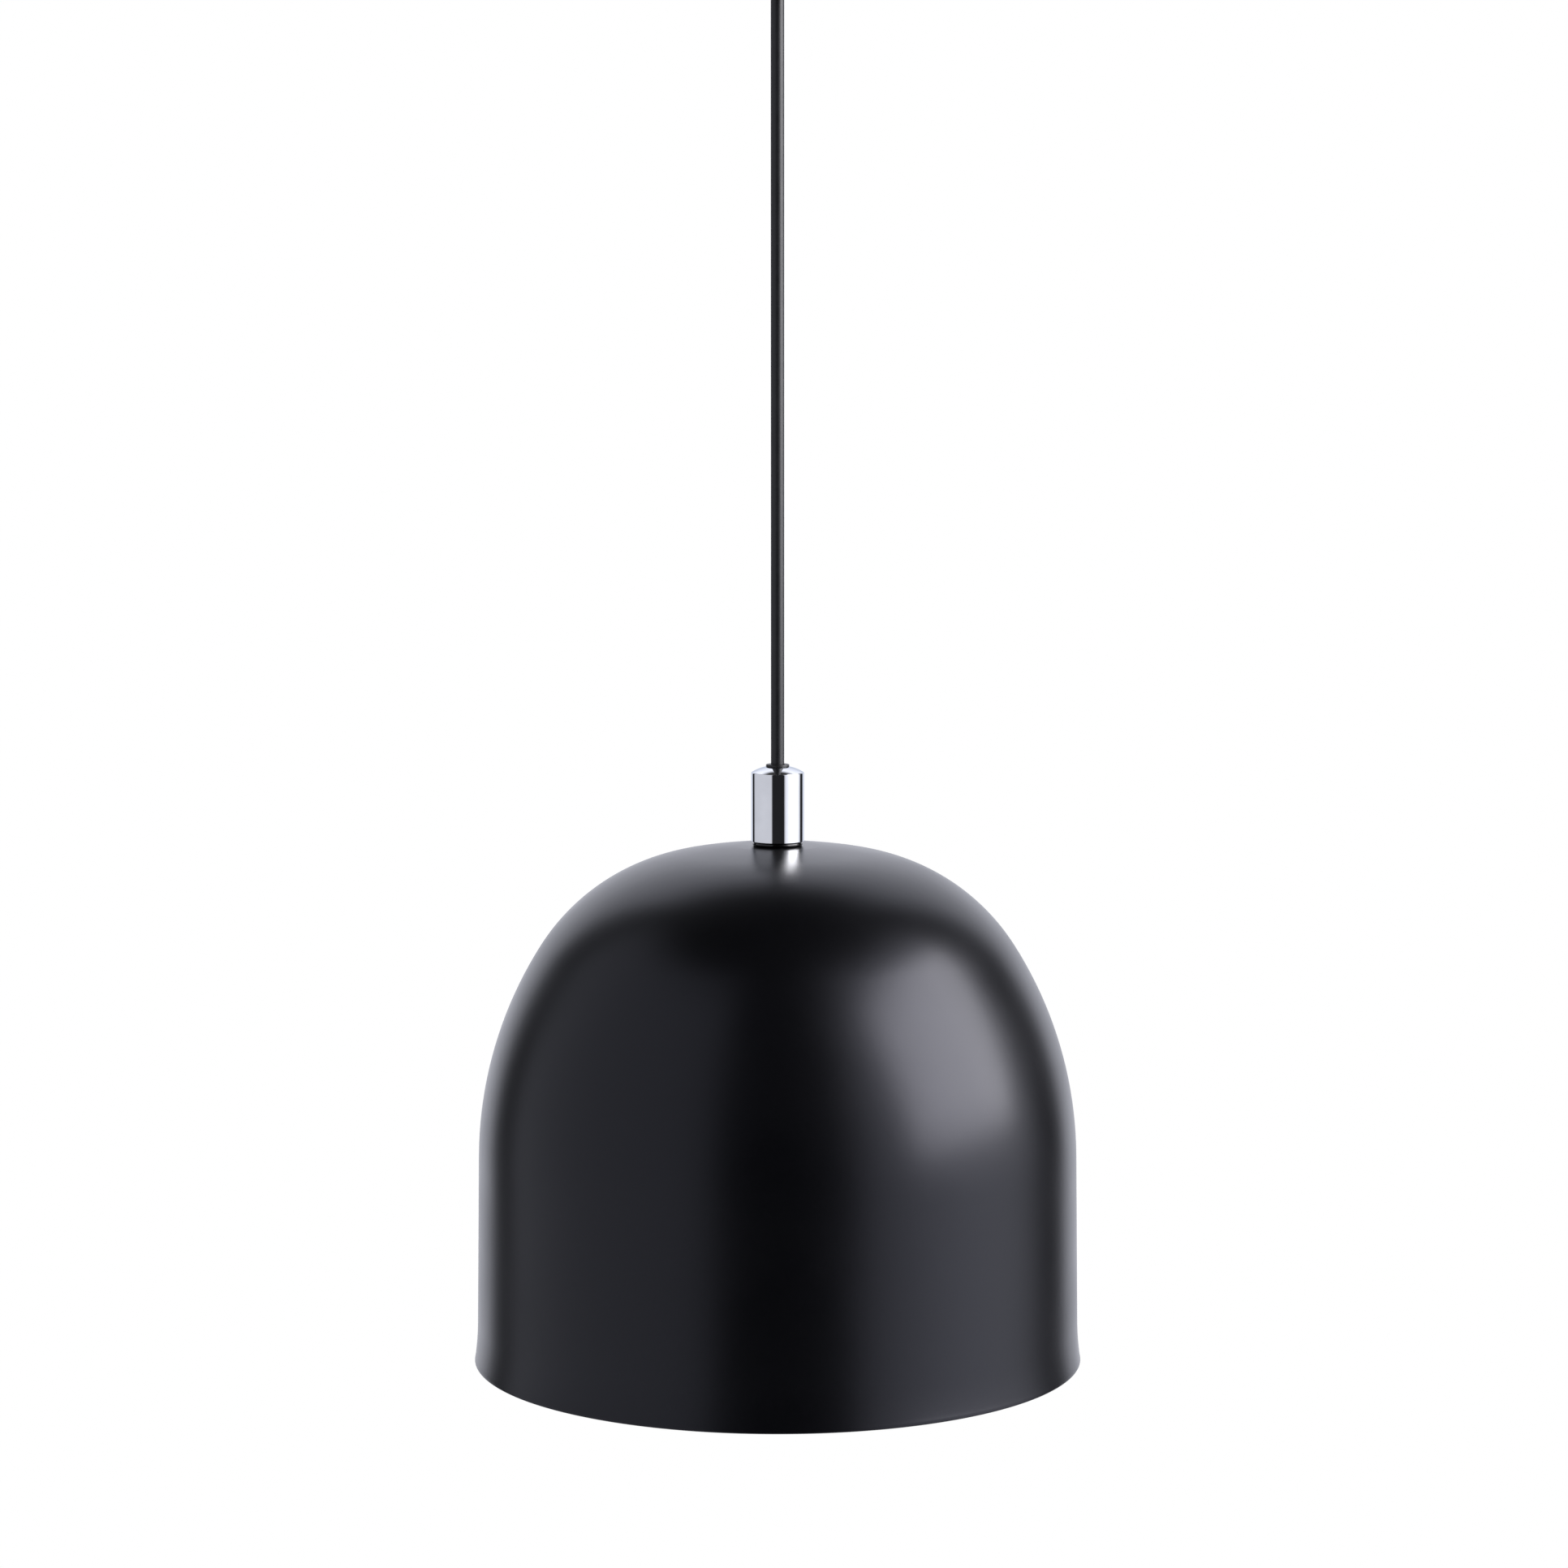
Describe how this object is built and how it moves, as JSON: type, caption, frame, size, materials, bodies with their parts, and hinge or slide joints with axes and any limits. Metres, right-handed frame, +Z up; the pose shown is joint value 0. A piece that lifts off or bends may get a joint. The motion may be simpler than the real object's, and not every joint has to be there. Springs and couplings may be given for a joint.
{
  "type": "pendant ceiling light",
  "caption": "Ceiling light with a black dome shade on a straight cable, a chromed ferrule on its crown, a ceiling cup and a screw-in bulb.",
  "frame": {"origin": "middle of the ceiling plane, between the two slots of the ceiling bracket", "axes": "+Z up out of the ceiling plane, X along the bracket's slots"},
  "size_m": [0.22, 0.22, 0.558],
  "materials": {
    "zinc_steel": "zinc plated, satin",
    "black_paint": "satin black powder coat",
    "shade_paint": "satin black powder coat outside, white inside",
    "black_nylon": "moulded, satin",
    "gasket_rubber": "smooth, glossy",
    "white_plastic": "moulded polyamide",
    "brass": "turned",
    "cable_black": "smooth extruded jacket, satin",
    "core_brown": "insulation",
    "core_blue": "insulation",
    "core_green_yellow": "striped insulation",
    "chrome": "polished",
    "holder_black": "thermoset, glossy",
    "ceramic": "white insulator",
    "clear_glass": "clear",
    "nickel_shell": "nickel plated, rolled",
    "black_insulator": "black glass",
    "phosphor": "yellow coating",
    "lead_wire": "drawn wire"
  },
  "bodies": {
    "ceiling_fitting": {"ceiling_bracket": "zinc_steel", "canopy_cup": "black_paint", "canopy_side_screw_right": "zinc_steel", "canopy_side_screw_left": "zinc_steel", "canopy_cord_grip": "black_nylon", "grip_clamp_screw": "zinc_steel", "canopy_grip_nut": "black_nylon", "terminal_block": "white_plastic", "terminal_tube_live": "brass", "terminal_tube_neutral": "brass", "terminal_screws": "zinc_steel", "terminal_block_screw": "zinc_steel", "earth_washer": "zinc_steel", "earth_screw": "zinc_steel", "cord_stub": "cable_black", "live_core_top": "core_brown", "neutral_core_top": "core_blue", "earth_core_top": "core_green_yellow"},
    "cord_bend": {"cord_knuckle": "cable_black"},
    "cord": {"pendant_cord": "cable_black"},
    "lamp": {"ferrule": "chrome", "ferrule_bush": "black_nylon", "cord_grip": "brass", "cord_grip_screw": "zinc_steel", "earth_terminal_screw": "zinc_steel", "cord_tail": "cable_black", "ferrule_gasket": "gasket_rubber", "threaded_nipple": "zinc_steel", "shade_washer": "zinc_steel", "lock_washer": "zinc_steel", "nipple_nut": "zinc_steel", "shade": "shade_paint", "holder_cap": "holder_black", "holder_skirt": "holder_black", "holder_core": "ceramic", "screw_shell": "brass", "centre_contact": "brass", "side_contact": "brass", "holder_screw_live": "zinc_steel", "holder_screw_neutral": "zinc_steel", "live_core_low": "core_brown", "neutral_core_low": "core_blue", "earth_core_low": "core_green_yellow"},
    "bulb_carrier": {"bulb_contact_eyelet": "brass"},
    "bulb": {"bulb_screw_base": "nickel_shell", "bulb_base_insulator": "black_insulator", "bulb_glass": "clear_glass", "bulb_stem": "clear_glass", "bulb_filaments": "phosphor", "bulb_lead_wires": "lead_wire"}
  },
  "joints": [
    {"name": "swing_side", "type": "hinge", "parent": "ceiling_fitting", "child": "cord_bend", "pos_m": [0, 0, -0.06], "axis": [0, 1, 0], "range_deg": [-20, 20]},
    {"name": "swing_front", "type": "hinge", "parent": "cord_bend", "child": "cord", "pos_m": [0, 0, -0.06], "axis": [1, 0, 0], "range_deg": [-20, 20]},
    {"name": "twist", "type": "hinge", "parent": "cord", "child": "lamp", "pos_m": [0, 0, -0.351], "axis": [0, 0, 1], "range_deg": [-180, 180], "stiffness_Nm_per_rad": 0.004},
    {"name": "bulb_travel", "type": "slide", "parent": "lamp", "child": "bulb_carrier", "axis": [0, 0, -1], "range_m": [0, 0.0182]},
    {"name": "bulb_turn", "type": "hinge", "parent": "bulb_carrier", "child": "bulb", "pos_m": [0, 0, -0.45], "axis": [0, 0, -1], "range_deg": [0, 1800]}
  ],
  "couplings": [
    {"joint": "bulb_travel", "follows": "bulb_turn", "m_per_rad": 0.00057757}
  ]
}
